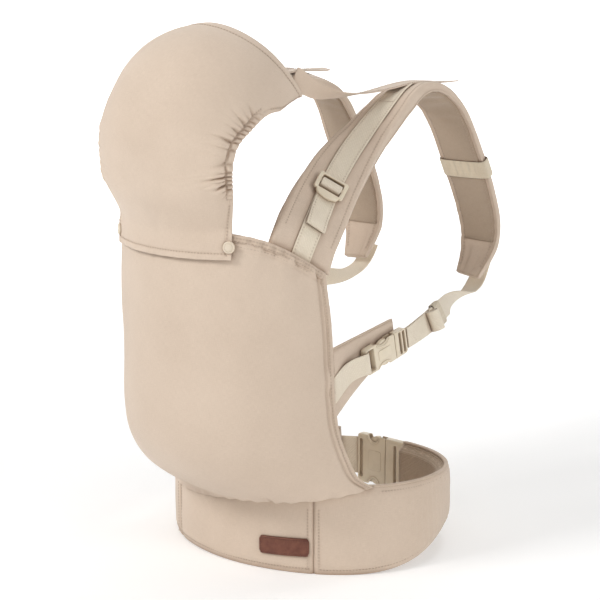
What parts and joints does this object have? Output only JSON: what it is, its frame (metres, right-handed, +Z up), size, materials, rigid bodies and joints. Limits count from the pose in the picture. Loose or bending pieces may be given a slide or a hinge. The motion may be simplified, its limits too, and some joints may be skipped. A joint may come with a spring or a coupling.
{
  "type": "soft baby carrier",
  "caption": "Soft baby carrier with padded waist belt, curved front panel, fold-down hood, padded shoulder straps and side-release buckles.",
  "frame": {"origin": "centre of the waist opening, level with the lowest edge of the waist belt", "axes": "+Z up, -Y away from the wearer through the front panel, +X the wearer's left"},
  "size_m": [0.37, 0.5283, 0.646],
  "materials": {
    "shell_fabric": "fine plain weave cotton, matt",
    "lining_fabric": "ribbed knit lining, matt",
    "binding_fabric": "folded cotton binding, stitched",
    "webbing": "woven ribbed webbing, slight sheen",
    "elastic": "ribbed elastic",
    "buckle_plastic": "moulded, satin",
    "snap_plastic": "moulded, satin",
    "leather": "smooth leather patch, burnished edge"
  },
  "bodies": {
    "carrier": {"adjust_webbing_left": "webbing", "adjust_webbing_right": "webbing", "belt_front": "shell_fabric", "belt_lining": "lining_fabric", "belt_wing_left": "shell_fabric", "belt_wing_right": "shell_fabric", "front_panel": "shell_fabric", "hood_skirt": "shell_fabric", "label_patch": "leather", "panel_lining": "lining_fabric", "panel_side_binding_left": "binding_fabric", "panel_side_binding_right": "binding_fabric", "panel_top_binding": "binding_fabric", "shoulder_strap_left": "shell_fabric", "shoulder_strap_right": "shell_fabric", "shoulder_webbing_left": "webbing", "shoulder_webbing_right": "webbing", "side_socket_left": "buckle_plastic", "side_socket_right": "buckle_plastic", "side_wing_left": "shell_fabric", "side_wing_right": "shell_fabric", "snap_cap_left": "snap_plastic", "snap_cap_right": "snap_plastic", "snap_stud_left": "snap_plastic", "snap_stud_right": "snap_plastic", "socket_webbing_left": "webbing", "socket_webbing_right": "webbing", "waist_socket": "buckle_plastic", "waist_webbing_right": "webbing", "webbing_tail_left": "webbing", "webbing_tail_right": "webbing"},
    "hood": {"hood": "shell_fabric", "hood_elastic_left": "elastic", "hood_elastic_right": "elastic", "hood_tape_left": "shell_fabric", "hood_tape_right": "shell_fabric"},
    "ladder_lock_left": {"ladder_lock_left": "buckle_plastic"},
    "strap_keeper_left": {"strap_keeper_left": "elastic"},
    "side_plug_left": {"side_plug_left": "buckle_plastic", "lower_webbing_left": "webbing", "tail_roll_left": "webbing", "tail_keeper_left": "elastic"},
    "side_prong_upper_left": {"side_prong_upper_left": "buckle_plastic"},
    "side_prong_lower_left": {"side_prong_lower_left": "buckle_plastic"},
    "ladder_lock_right": {"ladder_lock_right": "buckle_plastic"},
    "strap_keeper_right": {"strap_keeper_right": "elastic"},
    "side_plug_right": {"side_plug_right": "buckle_plastic", "lower_webbing_right": "webbing", "tail_roll_right": "webbing", "tail_keeper_right": "elastic"},
    "side_prong_upper_right": {"side_prong_upper_right": "buckle_plastic"},
    "side_prong_lower_right": {"side_prong_lower_right": "buckle_plastic"},
    "waist_plug": {"waist_plug": "buckle_plastic", "waist_webbing_left": "webbing"},
    "waist_prong_upper": {"waist_prong_upper": "buckle_plastic"},
    "waist_prong_lower": {"waist_prong_lower": "buckle_plastic"}
  },
  "joints": [
    {"name": "hood_fold", "type": "hinge", "parent": "carrier", "child": "hood", "pos_m": [0, -0.275, 0.43], "axis": [1, 0, 0], "range_deg": [0, 125]},
    {"name": "ladder_tilt_left", "type": "hinge", "parent": "carrier", "child": "ladder_lock_left", "pos_m": [0.12046, -0.09723, 0.47356], "axis": [-0.6619, -0.5371, 0.5229], "range_deg": [0, 35]},
    {"name": "keeper_slide_left", "type": "slide", "parent": "carrier", "child": "strap_keeper_left", "axis": [0.0087, 0.4715, -0.8818], "range_m": [-0.01, 0.01]},
    {"name": "side_buckle_left", "type": "slide", "parent": "carrier", "child": "side_plug_left", "axis": [0, 0.9781, 0.2079], "range_m": [0, 0.031]},
    {"name": "side_prong_upper_squeeze_left", "type": "hinge", "parent": "side_plug_left", "child": "side_prong_upper_left", "pos_m": [0.156, -0.03793, 0.27888], "axis": [1, 0, 0], "range_deg": [0, 6], "stiffness_Nm_per_rad": 0.6},
    {"name": "side_prong_lower_squeeze_left", "type": "hinge", "parent": "side_plug_left", "child": "side_prong_lower_left", "pos_m": [0.156, -0.03398, 0.26029], "axis": [1, 0, 0], "range_deg": [-6, 0], "stiffness_Nm_per_rad": 0.6},
    {"name": "ladder_tilt_right", "type": "hinge", "parent": "carrier", "child": "ladder_lock_right", "pos_m": [-0.12046, -0.09723, 0.47356], "axis": [-0.6619, 0.5371, -0.5229], "range_deg": [0, 35]},
    {"name": "keeper_slide_right", "type": "slide", "parent": "carrier", "child": "strap_keeper_right", "axis": [-0.0087, 0.4715, -0.8818], "range_m": [-0.01, 0.01]},
    {"name": "side_buckle_right", "type": "slide", "parent": "carrier", "child": "side_plug_right", "axis": [0, 0.9781, 0.2079], "range_m": [0, 0.031]},
    {"name": "side_prong_upper_squeeze_right", "type": "hinge", "parent": "side_plug_right", "child": "side_prong_upper_right", "pos_m": [-0.156, -0.03793, 0.27888], "axis": [1, 0, 0], "range_deg": [0, 6], "stiffness_Nm_per_rad": 0.6},
    {"name": "side_prong_lower_squeeze_right", "type": "hinge", "parent": "side_plug_right", "child": "side_prong_lower_right", "pos_m": [-0.156, -0.03398, 0.26029], "axis": [1, 0, 0], "range_deg": [-6, 0], "stiffness_Nm_per_rad": 0.6},
    {"name": "waist_buckle", "type": "slide", "parent": "carrier", "child": "waist_plug", "axis": [1, 0, 0], "range_m": [0, 0.042]},
    {"name": "waist_prong_lower_squeeze", "type": "hinge", "parent": "waist_plug", "child": "waist_prong_lower", "pos_m": [-0.004, 0.156, 0.0265], "axis": [0, 1, 0], "range_deg": [0, 6], "stiffness_Nm_per_rad": 0.8},
    {"name": "waist_prong_upper_squeeze", "type": "hinge", "parent": "waist_plug", "child": "waist_prong_upper", "pos_m": [-0.004, 0.156, 0.0795], "axis": [0, 1, 0], "range_deg": [-6, 0], "stiffness_Nm_per_rad": 0.8}
  ],
  "couplings": [
    {"joint": "side_prong_lower_squeeze_left", "follows": "side_prong_upper_squeeze_left", "ratio": -1},
    {"joint": "side_prong_lower_squeeze_right", "follows": "side_prong_upper_squeeze_right", "ratio": -1},
    {"joint": "waist_prong_upper_squeeze", "follows": "waist_prong_lower_squeeze", "ratio": -1}
  ]
}
